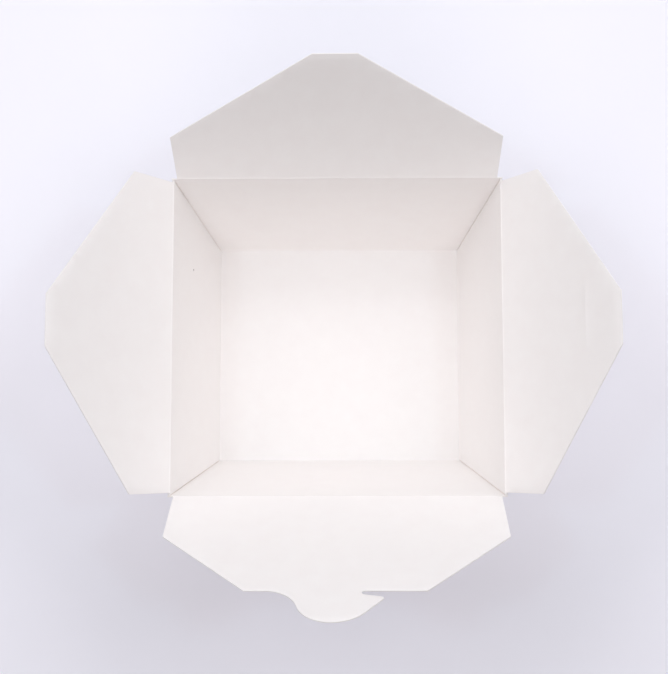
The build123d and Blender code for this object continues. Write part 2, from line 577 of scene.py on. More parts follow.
@dataclass(frozen=True)
class CoatedBoardFinish:
    """White bleached paperboard with a thin polyethylene film pressed on both faces.

    The film is satin: it blurs lamps to a soft sheen, and under it the matted fibres show as faint
    clouds. The fibres themselves are far too fine for the render, so their grain is drawn coarser.
    """

    thin: str = "#F5F1EF"
    dense: str = "#F9F7F5"
    cloud_size: float = 7.0
    cloud_detail: float = 4.0
    cloud_roughness: float = 0.62
    cloud_range: Point = (0.3, 0.7)
    gloss_range: Point = (0.42, 0.54)
    grain_size: float = 0.9
    grain_detail: float = 3.0
    grain_height: float = 0.004
    film_ior: float = 1.51

    def make(self) -> bpy.types.Material:
        """Builds the material.

        Returns:
            The material.
        """
        material, tree, shader = new_material("polyethylene_coated_paperboard")
        place = add_node(tree, "ShaderNodeTexCoord").outputs["Object"]
        cloud_inputs = {
            "Vector": place,
            "Scale": 1 / (self.cloud_size * MM),
            "Detail": self.cloud_detail,
            "Roughness": self.cloud_roughness,
        }
        clouds = add_node(tree, "ShaderNodeTexNoise", cloud_inputs).outputs["Fac"]
        colours = {MIX_FIRST: hex_to_linear(self.thin), MIX_SECOND: hex_to_linear(self.dense)}
        tint = add_node(tree, "ShaderNodeMix", {"Factor": clouds, **colours}, data_type="RGBA")
        gloss_inputs = {
            "Value": clouds,
            "From Min": self.cloud_range[0],
            "From Max": self.cloud_range[1],
            "To Min": self.gloss_range[0],
            "To Max": self.gloss_range[1],
        }
        gloss = add_node(tree, "ShaderNodeMapRange", gloss_inputs)
        grain_inputs = {"Vector": place, "Scale": 1 / (self.grain_size * MM), "Detail": self.grain_detail}
        grain = add_node(tree, "ShaderNodeTexNoise", grain_inputs).outputs["Fac"]
        bump_inputs = {"Height": grain, "Distance": self.grain_height * MM, "Strength": 1.0}
        bump = add_node(tree, "ShaderNodeBump", bump_inputs)
        shader_inputs = {
            "Base Color": tint.outputs[MIX_RESULT],
            "Roughness": gloss.outputs["Result"],
            "Normal": bump.outputs["Normal"],
            "IOR": self.film_ior,
        }
        set_inputs(shader, shader_inputs)
        return material


@dataclass(frozen=True)
class BareFibreFinish:
    """Matt colour with fine streaks, for bare fibre of the board and its pulp, and for the painted shade
    along the inside corners.

    Attributes:
        name: Name of the material.
        light: Colour of the paler fibres.
        dark: Colour of the darker ones.
    """

    name: str
    light: str
    dark: str
    fibre_size: float = 0.35
    fibre_detail: float = 4.0
    roughness: float = 0.86

    def make(self) -> bpy.types.Material:
        """Builds the material.

        Returns:
            The material.
        """
        material, tree, shader = new_material(self.name)
        place = add_node(tree, "ShaderNodeTexCoord").outputs["Object"]
        fibre_inputs = {"Vector": place, "Scale": 1 / (self.fibre_size * MM), "Detail": self.fibre_detail}
        fibres = add_node(tree, "ShaderNodeTexNoise", fibre_inputs).outputs["Fac"]
        colours = {MIX_FIRST: hex_to_linear(self.dark), MIX_SECOND: hex_to_linear(self.light)}
        tint = add_node(tree, "ShaderNodeMix", {"Factor": fibres, **colours}, data_type="RGBA")
        set_inputs(shader, {"Base Color": tint.outputs[MIX_RESULT], "Roughness": self.roughness})
        return material


@dataclass(frozen=True)
class Finishes:
    """The board's materials."""

    coated: bpy.types.Material
    raw_edge: bpy.types.Material
    crazed_fold: bpy.types.Material
    dark_fibre: bpy.types.Material

    @property
    def board(self) -> tuple[bpy.types.Material, ...]:
        """What the board shows, in the order of Surface."""
        return self.coated, self.raw_edge, self.crazed_fold

    @classmethod
    def make(cls) -> Finishes:
        """Builds the materials.

        Returns:
            The finishes.
        """
        # A die-cut edge is clean white fibre. The fold noses at the inside corners are a darker tan:
        # painted shade, for the warm shade that gathers along those corners.
        # A stray wood fibre in the pulp is grey-brown.
        return cls(
            coated=CoatedBoardFinish().make(),
            raw_edge=BareFibreFinish("die_cut_paperboard_edge", "#FAF8F7", "#F0EDEB").make(),
            # Painted shade: a darker tan for the fold noses at the inside corners.
            crazed_fold=BareFibreFinish("crazed_paperboard_fold", "#F3E8DF", "#EADBCF").make(),
            dark_fibre=BareFibreFinish("stray_dark_fibre", "#6A5E59", "#4D433F", roughness=0.9).make(),
        )


class GeometryTree:
    """A geometry node tree with named inputs, and how to run it on an object."""

    def __init__(self, name: str, inputs: dict[str, str]) -> None:
        """Makes the tree with its group nodes.

        Args:
            name: Name of the tree.
            inputs: Kind of socket of each named input.
        """
        self.tree = bpy.data.node_groups.new(name, "GeometryNodeTree")
        self.identifiers = {}
        sockets = self.tree.interface
        for label, kind in {"Geometry": "Geometry", **inputs}.items():
            socket = sockets.new_socket(label, in_out="INPUT", socket_type=f"NodeSocket{kind}")
            self.identifiers[label] = socket.identifier
        sockets.new_socket("Geometry", in_out="OUTPUT", socket_type="NodeSocketGeometry")
        self.source = self.tree.nodes.new("NodeGroupInput").outputs
        self.sink = self.tree.nodes.new("NodeGroupOutput")

    def node(self, kind: str, inputs: dict | None = None, **settings: object) -> bpy.types.NodeSocket:
        """Adds a node, as add_node does, and returns its first output."""
        return add_node(self.tree, kind, inputs, **settings).outputs[0]

    def finish(self, geometry: bpy.types.NodeSocket) -> None:
        """Links the tree's result."""
        set_inputs(self.sink, {"Geometry": geometry})

    def run(self, name: str, start: bpy.types.Mesh, values: dict[str, object]) -> bpy.types.Mesh:
        """Runs the tree on a mesh.

        Args:
            name: Name of the result.
            start: The mesh that goes in.
            values: A value for each named input.

        Returns:
            The result as a plain mesh.
        """
        carrier = bpy.data.objects.new(name, start)
        bpy.context.scene.collection.objects.link(carrier)
        modifier = carrier.modifiers.new(name, "NODES")
        modifier.node_group = self.tree
        for label, value in values.items():
            modifier[self.identifiers[label]] = value
        graph = bpy.context.evaluated_depsgraph_get()
        made = bpy.data.meshes.new_from_object(carrier.evaluated_get(graph))
        bpy.data.objects.remove(carrier)
        turned = bmesh.new()
        turned.from_mesh(made)
        bmesh.ops.remove_doubles(turned, verts=turned.verts, dist=SAME_PLACE * MM)
        bmesh.ops.recalc_face_normals(turned, faces=turned.faces)
        turned.to_mesh(made)
        turned.free()
        made.name = name
        return made


class FoldTree(GeometryTree):
    """Sweeps a fold's section along the fold, with a bead that wanders a little as a pressed one does."""

    NOISE_DETAIL = 2.0

    def __init__(self) -> None:
        """Builds the tree."""
        sizes = dict.fromkeys(("Length", "Reach", "Unevenness", "Unevenness Spacing", "Seed"), "Float")
        super().__init__("fold_sweep", {**sizes, "Segments": "Int", "Material": "Material"})
        source, node = self.source, self.node

        # The section goes along a straight path, equally far to both sides of the fold's middle.
        below = node("ShaderNodeMath", {0: source["Length"], 1: -0.5}, operation="MULTIPLY")
        above = node("ShaderNodeMath", {0: source["Length"], 1: 0.5}, operation="MULTIPLY")
        low = node("ShaderNodeCombineXYZ", {"Z": below})
        high = node("ShaderNodeCombineXYZ", {"Z": above})
        line = node("GeometryNodeCurvePrimitiveLine", {"Start": low, "End": high})
        path = node("GeometryNodeResampleCurve", {"Curve": line, "Count": source["Segments"]})
        section = node("GeometryNodeMeshToCurve", {"Mesh": source["Geometry"]})
        curves = {"Curve": path, "Profile Curve": section, "Fill Caps": True}
        sweep = node("GeometryNodeCurveToMesh", curves)

        # Noise moves the faces in and out, less and less away from the fold.
        place = node("GeometryNodeInputPosition")
        flat = node("ShaderNodeVectorMath", {0: place, 1: (1.0, 1.0, 0.0)}, operation="MULTIPLY")
        length = add_node(self.tree, "ShaderNodeVectorMath", {0: flat}, operation="LENGTH")
        fade = {"Value": length.outputs["Value"], "From Max": source["Reach"], "To Min": 1.0, "To Max": 0.0}
        near = node("ShaderNodeMapRange", fade, interpolation_type="SMOOTHSTEP")
        rate = node("ShaderNodeMath", {0: 1.0, 1: source["Unevenness Spacing"]}, operation="DIVIDE")
        waves = {"Vector": place, "W": source["Seed"], "Scale": rate, "Detail": self.NOISE_DETAIL}
        noise = node("ShaderNodeTexNoise", waves, noise_dimensions="4D")
        centred = node("ShaderNodeMath", {0: noise, 1: 0.5}, operation="SUBTRACT")
        masked = node("ShaderNodeMath", {0: centred, 1: near}, operation="MULTIPLY")
        amount = node("ShaderNodeMath", {0: masked, 1: source["Unevenness"]}, operation="MULTIPLY")
        normal = node("GeometryNodeInputNormal")
        shift = node("ShaderNodeVectorMath", {0: normal, "Scale": amount}, operation="SCALE")
        moved = node("GeometryNodeSetPosition", {"Geometry": sweep, "Offset": shift})
        whole = node("GeometryNodeRealizeInstances", {"Geometry": moved})
        self.finish(node("GeometryNodeSetMaterial", {"Geometry": whole, "Material": source["Material"]}))


class PleatTree(GeometryTree):
    """Repeats one corner's pleat at the four corners of the tray by mirroring it."""

    CUT_MARK = "cut_edge"

    def __init__(self) -> None:
        """Builds the tree."""
        super().__init__("corner_pleats", {"Board Material": "Material", "Edge Material": "Material"})
        source, node = self.source, self.node
        corners = add_node(self.tree, "GeometryNodeJoinGeometry")
        for hands in ((1.0, 1.0, 1.0), (-1.0, 1.0, 1.0), (1.0, -1.0, 1.0), (-1.0, -1.0, 1.0)):
            corner = node("GeometryNodeTransform", {"Geometry": source["Geometry"], "Scale": hands})
            set_inputs(corners, {"Geometry": corner})
        whole = node("GeometryNodeRealizeInstances", {"Geometry": corners.outputs[0]})
        faces = node("GeometryNodeSetMaterial", {"Geometry": whole, "Material": source["Board Material"]})
        cut = node("GeometryNodeInputNamedAttribute", {"Name": self.CUT_MARK}, data_type="BOOLEAN")
        edges = {"Geometry": faces, "Selection": cut, "Material": source["Edge Material"]}
        self.finish(node("GeometryNodeSetMaterial", edges))


@dataclass(frozen=True)
class Fold:
    """A straight fold that is swept from its section.

    Attributes:
        name: Name of the piece or of its part.
        side: Side of the box that it runs along.
        place: Middle of the fold.
        length: From end to end.
        section: Closed section in outward and upward distances.
        reach: How far the section runs from the fold each way.
        seed: Picks how the bead wanders.
        unevenness: How far the bead wanders.
        spacing: About how far apart its waves are.
        segment: About how long each piece of the sweep is.
    """

    name: str
    side: Side
    place: Vector
    length: float
    section: list[Point]
    reach: float
    seed: float
    unevenness: float = 0.05
    spacing: float = 5.0
    segment: float = 2.5

    def mesh(self, tree: FoldTree, finishes: Finishes) -> bpy.types.Mesh:
        """Sweeps the fold and stands it in its place.

        Args:
            tree: The sweep.
            finishes: The board's materials.

        Returns:
            The mesh in the box's frame, in metres.
        """
        outline = bpy.data.meshes.new(f"{self.name}_section")
        count = len(self.section)
        points = [(x * MM, y * MM, 0.0) for x, y in self.section]
        outline.from_pydata(points, [(i, (i + 1) % count) for i in range(count)], [])
        values = {
            "Length": self.length * MM,
            "Segments": round(self.length / self.segment) + 1,
            "Reach": self.reach * MM,
            "Unevenness": self.unevenness * MM,
            "Unevenness Spacing": self.spacing * MM,
            "Seed": self.seed,
            "Material": finishes.coated,
        }
        made = tree.run(self.name, outline, values)
        outward, up = self.side.outward, Vector((0.0, 0.0, 1.0))
        stand = Matrix((outward, up, outward.cross(up))).transposed().to_4x4()
        made.transform(Matrix.Translation(self.place * MM) @ stand)
        return made


@dataclass
class Tray:
    """Floor, four leaning walls, the folds round the floor and the pleated corners.

    Attributes:
        board: The board.
        mouth_half_width: Middle of the box to the left and right creases.
        mouth_half_depth: Middle of the box to the front and back creases.
        long_crease: Height of the front and back creases.
        side_crease: Height of the left and right creases.
        fold_reach: How far a floor fold's section runs each way. crease_reach is the same for a crease.
        crease_inset: How much shorter a crease is than the mouth, at each end.
        tab_gap: Slit between a flap's root and the tab beside it.
        rim_below_crease: How far the walls' tabs end below the front and back creases.
        corner_gap: Slit along an inside corner.
        corner_taper: Share of a wall's height over which its ends are curved, in corner_levels steps.
        pleat_gap: Air between a pleat's layers. pleat_lift is how far its hairpin springs off the wall.
        pleat_drop: How far the pleat ends below the side creases, along the corner.
        pleat_round: Bend from the long wall into the pleat.
        pleat_taper: Share of the pleat's height over which its layers part.
        pleat_start: Share at which its mesh starts, with pleat_levels rings that crowd towards it.
        wall_bow: How far a wall's middle bows outwards.
    """

    # Points of a pleat's section along a hairpin, along the bend at the corner and along a straight.
    HAIRPIN_POINTS = 9
    BEND_POINTS = 6
    STRAIGHT_POINTS = 8

    board: Board
    mouth_half_width: float
    mouth_half_depth: float
    long_crease: float
    side_crease: float
    floor_half_width: float = 50.0
    floor_half_depth: float = 44.5
    fold_radius: float = 0.425
    fold_reach: float = 0.9
    fold_seed: float = 3.0
    crease_reach: float = 1.1
    crease_inset: float = 1.4
    tab_gap: float = 0.06
    rim_below_crease: float = 0.325
    corner_gap: float = 0.06
    corner_taper: float = 0.2
    corner_levels: int = 8
    pleat_gap: float = 0.06
    pleat_lift: float = 0.25
    pleat_drop: float = 1.5
    pleat_round: float = 0.6
    pleat_taper: float = 0.16
    pleat_start: float = 0.015
    pleat_levels: int = 40
    pleat_crowding: float = 1.6
    wall_bow: float = 0.18
    fleck_place: Point = (-29.5, 39.0)
    fleck_half_size: Place = (0.44, 0.34, 0.05)
    fleck_unevenness: float = 0.2
    fleck_waves: Point = (7.0, 5.0)
    bead: Bead = Bead(rise=0.09, half_width=0.38, groove=0.06, groove_half_width=0.45)

    def __post_init__(self) -> None:
        """Works out the slopes of the walls and the angles at their corners."""
        half = self.board.half
        long_run = self.mouth_half_depth - self.floor_half_depth
        side_run = self.mouth_half_width - self.floor_half_width
        self.long_slope = math.atan(long_run / (self.long_crease - half))
        self.side_slope = math.atan(side_run / (self.side_crease - half))
        self.long_lean = math.atan(math.cos(self.long_slope) * math.tan(self.side_slope))
        self.side_lean = math.atan(math.cos(self.side_slope) * math.tan(self.long_slope))
        self.pleat_half_angle = (math.pi / 2 - self.long_lean - self.side_lean) / 2
        self.pleat_lean = self.pleat_half_angle - self.side_lean
        corner = (self.side_crease - half) / math.cos(self.side_slope) / math.cos(self.side_lean)
        self.pleat_edge = corner - self.pleat_drop
        self.pleat_fold = self.pleat_edge * math.cos(self.pleat_half_angle)

    def slope(self, side: Side) -> float:
        """Lean of a wall from upright."""
        return self.long_slope if side.is_long else self.side_slope

    def crease_height(self, side: Side) -> float:
        """Height of a wall's crease."""
        return self.long_crease if side.is_long else self.side_crease

    def crease_half_length(self, side: Side) -> float:
        """Half the length of a wall's crease."""
        return (self.mouth_half_width if side.is_long else self.mouth_half_depth) - self.crease_inset

    def crease_place(self, side: Side) -> Vector:
        """Middle of a wall's crease."""
        mouth = self.mouth_half_depth if side.is_long else self.mouth_half_width
        return side.in_frame((mouth, self.crease_height(side)))

    def fold_place(self, side: Side) -> Vector:
        """Middle of a floor fold."""
        floor_half = self.floor_half_depth if side.is_long else self.floor_half_width
        return side.in_frame((floor_half, self.board.half))

    def wall_direction(self, side: Side) -> Vector:
        """Direction up a wall, in outward and upward distances."""
        return Vector((math.sin(self.slope(side)), math.cos(self.slope(side))))

    def wall_placement(self, side: Side) -> Placement:
        """Where a wall stands, from the middle of its floor fold."""
        return Placement(self.fold_place(side), side.along, side.in_frame(self.wall_direction(side)))

    def pleat_share(self, level: float) -> float:
        """How far the pleat's layers have parted, from 0 at the floor's corner to 1."""
        share = min(1.0, level / self.pleat_taper)
        return share * share * (3 - 2 * share)

    def pleat_heights(self, level: float) -> tuple[float, float, float, float, float]:
        """Heights of the pleat's layers above the side wall's middle.

        Args:
            level: From 0 at the floor's corner to 1 at the pleat's top edge.

        Returns:
            Inner layer's two faces, outer layer's two faces, and where the corner's bend ends.
        """
        share = self.pleat_share(level)
        gap = self.pleat_gap * share
        thickness = self.board.thickness * share
        inner_low = self.board.half + gap
        inner_high = inner_low + thickness
        outer_low = inner_high + gap
        outer_high = outer_low + thickness
        return inner_low, inner_high, outer_low, outer_high, outer_high - self.pleat_round * share

    def long_wall_half(self, height: float) -> float:
        """Half width of the front and back walls, out to the corner's bend.

        Args:
            height: Along the wall from its floor fold.

        Returns:
            The half width there.
        """
        rise = height * math.cos(self.long_slope)
        top = self.pleat_edge * math.cos(self.side_lean) * math.cos(self.side_slope)
        *_, bend_end = self.pleat_heights(min(1.0, rise / top))
        past = bend_end / math.cos(self.side_slope)
        return self.floor_half_width + rise * math.tan(self.side_slope) + past

    def side_wall_half(self, height: float) -> float:
        """Half width of the left and right walls at a height along the wall."""
        room = (self.board.half + self.corner_gap) / math.cos(self.side_lean)
        return self.floor_half_depth + height * math.tan(self.side_lean) - room

    def wall_panel(self, side: Side) -> Panel:
        """A wall from above its floor fold to below its crease, with the tabs beside the crease.

        Args:
            side: Which wall.

        Returns:
            The panel.
        """
        half_at = self.long_wall_half if side.is_long else self.side_wall_half
        slant = math.cos(self.slope(side))
        foot = self.fold_reach
        top = (self.crease_height(side) - self.board.half) / slant - self.crease_reach
        tab = (self.long_crease - self.rim_below_crease - self.board.half) / slant
        notch = self.crease_half_length(side) + self.tab_gap
        taper = self.corner_taper * tab
        levels = [foot + taper * k / self.corner_levels for k in range(self.corner_levels + 1)] + [tab]
        right = [(half_at(level), level) for level in levels]
        upper = [(notch, tab), (notch, top), (-notch, top), (-notch, tab)]
        left = [(-x, y) for x, y in reversed(right)]
        # The side walls' ends at the inside corners show the painted corner shade.
        ends = [EdgeKind.JOINED if side.is_long else EdgeKind.NOSE] * (len(right) - 1)
        tabs = [EdgeKind.CUT, EdgeKind.CUT]
        kinds = ends + tabs + [EdgeKind.JOINED] + tabs + ends + [EdgeKind.JOINED]

        def bulge(points: np.ndarray) -> np.ndarray:
            """Bows the wall a little outwards between its folds.

            Args:
                points: Places on the wall.

            Returns:
                How far each moves.
            """
            across = np.clip(points[:, 0] / notch, -1.0, 1.0)
            up = np.clip((points[:, 1] - foot) / (top - foot), 0.0, 1.0)
            return self.wall_bow * np.cos(across * math.pi / 2) ** 2 * np.sin(up * math.pi) ** 2

        return Panel(right + upper + left, kinds, self.wall_placement(side), bulge)

    def floor_panel(self) -> Panel:
        """The floor inside its four folds.

        Returns:
            The panel.
        """
        x = self.floor_half_width - self.fold_reach
        y = self.floor_half_depth - self.fold_reach
        middle = Vector((0.0, 0.0, self.board.half))
        placement = Placement(middle, Side.RIGHT.outward, Side.FRONT.outward)
        outline = [(-x, -y), (x, -y), (x, y), (-x, y)]
        return Panel(outline, [EdgeKind.JOINED] * 4, placement, lambda points: np.zeros(len(points)))

    def floor_fold(self, side: Side, seed: float) -> Fold:
        """The fold between the floor and a wall.

        Args:
            side: Which wall.
            seed: Picks how its bead wanders.

        Returns:
            The fold.
        """
        inwards, upwards = Vector((-1.0, 0.0)), self.wall_direction(side)
        section = fold_section(inwards, upwards, self.fold_reach, self.fold_radius, self.board, self.bead)
        length = 2 * (self.floor_half_width if side.is_long else self.floor_half_depth)
        name = f"{side.name.lower()}_floor_fold"
        return Fold(name, side, self.fold_place(side), length, section, self.fold_reach, seed)

    def pleat_section(self, level: float) -> list[Point]:
        """Section of a pleat at one level: inner layer, hairpin, outer layer and the bend at the corner.

        Args:
            level: From 0 at the floor's corner to 1 at the pleat's top edge.

        Returns:
            Distances from the corner towards the hairpin, and heights above the wall's middle.
        """
        share = self.pleat_share(level)
        low, inner_high, outer_low, high, bend_end = self.pleat_heights(level)
        length = level * self.pleat_edge * math.sin(self.pleat_half_angle)
        nose = (high - low) / 2
        middle = (high + low) / 2
        hollow = (outer_low - inner_high) / 2
        turn_at = length - nose
        skew = 1 / math.cos(self.pleat_half_angle)
        bend = self.pleat_round * share
        inside = bend - self.board.thickness * share
        centre = (bend - self.board.half * share) * skew
        first = (self.board.half + self.corner_gap) * share * skew
        arcs = np.radians(np.linspace(-90.0, 90.0, self.HAIRPIN_POINTS))
        bends = np.radians(np.linspace(90.0, 180.0, self.BEND_POINTS))
        straight = np.linspace(0.0, 1.0, self.STRAIGHT_POINTS)

        def hairpin(radius: float, turns: np.ndarray) -> list[Point]:
            """Points round the hairpin at a radius."""
            return [(turn_at + radius * math.cos(a), middle + radius * math.sin(a)) for a in turns]

        def corner_bend(radius: float, turns: np.ndarray) -> list[Point]:
            """Points round the bend at the corner at a radius."""
            return [(centre + radius * math.cos(a) * skew, bend_end + radius * math.sin(a)) for a in turns]

        points = [(first + (turn_at - first) * s, low) for s in straight[:-1]] + hairpin(nose, arcs)
        points += [(turn_at + (centre - turn_at) * s, high) for s in straight[1:-1]]
        points += corner_bend(bend, bends) + corner_bend(inside, bends[::-1])
        points += [(centre + (turn_at - centre) * s, outer_low) for s in straight[1:-1]]
        points += hairpin(hollow, arcs[::-1])
        points += [(turn_at + (first - turn_at) * s, inner_high) for s in straight[1:]]
        lift = self.pleat_lift * share
        return [(x, y + lift * max(0.0, x / length) ** 2) for x, y in points]

    def pleat_mesh(self) -> bpy.types.Mesh:
        """The pleat at the front end of the right wall: a web folded double, flat against the wall.

        Returns:
            The closed mesh, with its cut edges marked.
        """
        placement = self.wall_placement(Side.RIGHT)
        corner_top = self.pleat_edge * np.array([-math.sin(self.side_lean), math.cos(self.side_lean)])
        fold_top = self.pleat_fold * np.array([math.sin(self.pleat_lean), math.cos(self.pleat_lean)])
        across = (fold_top - corner_top) / np.linalg.norm(fold_top - corner_top)
        spread = np.linspace(0.0, 1.0, self.pleat_levels) ** self.pleat_crowding
        rings = []
        for level in self.pleat_start + (1 - self.pleat_start) * spread:
            section = np.array(self.pleat_section(float(level)))
            flat = np.array([-self.floor_half_depth, 0.0]) + level * corner_top + section[:, :1] * across
            rings.append(placement.place(np.column_stack([flat, section[:, 1]])))
        count = len(rings[0])
        faces = [tuple(range(count))]
        for first in range(0, count * (len(rings) - 1), count):
            for i in range(count):
                j = (i + 1) % count
                faces.append((first + i, first + count + i, first + count + j, first + j))
        faces.append(tuple(reversed(range(count * (len(rings) - 1), count * len(rings)))))
        mesh = bpy.data.meshes.new("corner_pleat")
        mesh.from_pydata((np.concatenate(rings) * MM).tolist(), [], faces)
        mark = mesh.attributes.new(PleatTree.CUT_MARK, "BOOLEAN", "FACE")
        mark.data[len(faces) - 1].value = True
        return mesh

    def fleck(self, finishes: Finishes) -> bpy.types.Object:
        """A single dark fibre caught in the left wall's inner face.

        Args:
            finishes: The board's materials.

        Returns:
            The piece.
        """
        wall = self.wall_panel(Side.LEFT)
        x, y = self.fleck_place
        depth = float(wall.sway(np.array([[x, y]]))[0]) - self.board.half
        grain = bmesh.new()
        bmesh.ops.create_icosphere(grain, subdivisions=2, radius=1.0)
        points = np.array([vertex.co for vertex in grain.verts]) * self.fleck_half_size
        faces = [[vertex.index for vertex in face.verts] for face in grain.faces]
        grain.free()
        x_wave, y_wave = self.fleck_waves
        ragged = np.sin(x_wave * points[:, :1] + y_wave * points[:, 1:2])
        points[:, :2] *= 1 + self.fleck_unevenness * ragged
        shell = Shell()
        shell.add(wall.placement.place(points + (x, y, depth)), faces, [Surface.COATED] * len(faces))
        return shell.to_object("dark_fibre_fleck", [finishes.dark_fibre])

    def build(self, finishes: Finishes, fold_tree: FoldTree) -> list[bpy.types.Object]:
        """Builds the tray's pieces and sets them on its body.

        Args:
            finishes: The board's materials.
            fold_tree: Sweeps the folds.

        Returns:
            The pieces.
        """
        shell = Shell()
        self.floor_panel().add_to(shell, self.board)
        for side in Side:
            self.wall_panel(side).add_to(shell, self.board)
        panels = shell.to_object("tray_panels", finishes.board)
        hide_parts("tray")

        folds = bmesh.new()
        for number, side in enumerate(Side):
            folds.from_mesh(self.floor_fold(side, self.fold_seed + number).mesh(fold_tree, finishes))
        fold_mesh = bpy.data.meshes.new("floor_folds")
        folds.to_mesh(fold_mesh)
        folds.free()
        fold_mesh.materials.append(finishes.coated)
        floor_folds = link_mesh("floor_folds", fold_mesh)

        values = {"Board Material": finishes.coated, "Edge Material": finishes.raw_edge}
        pleats = link_mesh("corner_pleats", PleatTree().run("corner_pleats", self.pleat_mesh(), values))
        fleck = self.fleck(finishes)
        pieces = [panels, floor_folds, pleats]
        pieces.append(fleck)
        for piece in pieces:
            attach(piece, TRAY_BODY)
        return pieces


@dataclass(frozen=True)
class PressedLine:
    """A faint line pressed into a flap from outside, which stands up a little on its inner face.

    Attributes:
        height: From the flap's crease.
        start: Where it starts along the flap.
        end: Where it ends.
        rise: How far it stands up.
        half_width: From its middle to its foot.
        fade: Over what length it dies away at each end.
    """

    height: float
    start: float
    end: float
    rise: float = 0.15
    half_width: float = 0.9
    fade: float = 2.5

    def mesh_lines(self) -> tuple[float, ...]:
        """Heights of the mesh lines that carry it."""
        return tuple(self.height + self.half_width * share for share in (-1.0, -0.5, 0.0, 0.5, 1.0))

    def shifts(self, points: np.ndarray) -> np.ndarray:
        """How far points of the flap move outwards, which is less than 0 along the line.

        Args:
            points: Places on the flap.

        Returns:
            How far each moves.
        """
        away = np.clip(np.abs(points[:, 1] - self.height) / self.half_width, 0.0, 1.0)
        inside = np.minimum(points[:, 0] - self.start, self.end - points[:, 0]) / self.fade
        return -self.rise * np.cos(away * math.pi / 2) ** 2 * np.clip(inside, 0.0, 1.0)


@dataclass
class Flap:
    """A top flap and the crease that it hangs on.

    Attributes:
        side: The wall that it hangs on.
        tray: The tray.
        angle: How far it stands above the horizontal, in degrees.
        shoulder: Crease to the flap's widest place.
        shoulder_half: Half width there.
        reach: Crease to the flap's end.
        end_half: Half width of its end.
        bow: How far its end strays out of its plane, outwards.
        seed: Picks how its crease wanders.
        pressed_line: A mark on it, if it has one.
    """

    side: Side
    tray: Tray
    angle: float
    shoulder: float
    shoulder_half: float
    reach: float
    end_half: float
    bow: float
    seed: float
    pressed_line: PressedLine | None = None
    corner_round: float = 0.7
    crease_radius: float = 0.5
    ripple: float = 0.03
    ripple_spans: Point = (17.0, 13.0)
    bead: Bead = Bead(rise=0.12, half_width=0.65, groove=0.12, groove_half_width=0.6)

    @property
    def direction(self) -> Vector:
        """Direction along the open flap, in outward and upward distances."""
        angle = math.radians(self.angle)
        return Vector((math.cos(angle), math.sin(angle)))

    def end_outline(self) -> tuple[list[Point], list[float]]:
        """Corners and radii of the flap's end, from right to left."""
        return [(self.end_half, self.reach), (-self.end_half, self.reach)], [self.corner_round] * 2

    def panel(self) -> Panel:
        """The flap beyond its crease.

        Returns:
            The panel.
        """
        root = self.tray.crease_reach
        base = self.tray.crease_half_length(self.side)
        end, end_radii = self.end_outline()
        corners = [(-base, root), (base, root), (self.shoulder_half, self.shoulder)]
        corners += end + [(-self.shoulder_half, self.shoulder)]
        radii = [0.0, 0.0, self.corner_round] + end_radii + [self.corner_round]
        outline, kinds = [], []
        for number, points in enumerate(rounded_outline(corners, radii)):
            outline += points
            kinds += [EdgeKind.JOINED if number == 0 else EdgeKind.CUT] * len(points)

        def curl(points: np.ndarray) -> np.ndarray:
            """Curls the flap towards its end, with a faint ripple across it.

            Args:
                points: Places on the flap.

            Returns:
                How far each moves.
            """
            along = np.clip((points[:, 1] - root) / (self.reach - root), 0.0, 1.0)
            rise = (1 - np.cos(along * math.pi)) / 2
            waves = np.sin(points / self.ripple_spans + (self.seed, 2 * self.seed)).prod(axis=1)
            shape = self.bow * rise + self.ripple * waves * np.minimum(1.0, 2 * along)
            return shape + (self.pressed_line.shifts(points) if self.pressed_line else 0.0)

        crease = self.tray.crease_place(self.side)
        placement = Placement(crease, self.side.along, self.side.in_frame(self.direction))
        lines = self.pressed_line.mesh_lines() if self.pressed_line else ()
        return Panel(outline, kinds, placement, curl, lines)

    def crease(self) -> Fold:
        """The pressed crease between the wall and the flap.

        Returns:
            The fold.
        """
        side, tray, reach = self.side, self.tray, self.tray.crease_reach
        down = -tray.wall_direction(side)
        section = fold_section(down, self.direction, reach, self.crease_radius, tray.board, self.bead)
        length = 2 * tray.crease_half_length(side)
        name = f"{side.name.lower()}_crease"
        return Fold(name, side, tray.crease_place(side), length, section, reach, self.seed)

    def build(self, finishes: Finishes, fold_tree: FoldTree) -> list[bpy.types.Object]:
        """Builds the flap, which moves with its body, and its crease, which is not attached to a body.

        Args:
            finishes: The board's materials.
            fold_tree: Sweeps the crease.

        Returns:
            The two pieces.
        """
        side = self.side
        shell = Shell()
        self.panel().add_to(shell, self.tray.board)
        panel = shell.to_object(f"{side.flap}_panel", finishes.board)
        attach(panel, side.flap)
        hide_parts(side.flap)
        fold = self.crease()
        crease = link_mesh(fold.name, fold.mesh(fold_tree, finishes))
        start = fold.place - side.in_frame(self.tray.wall_direction(side)) * fold.reach
        end = fold.place + side.in_frame(self.direction) * fold.reach
        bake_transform(crease)
        return [panel, crease]


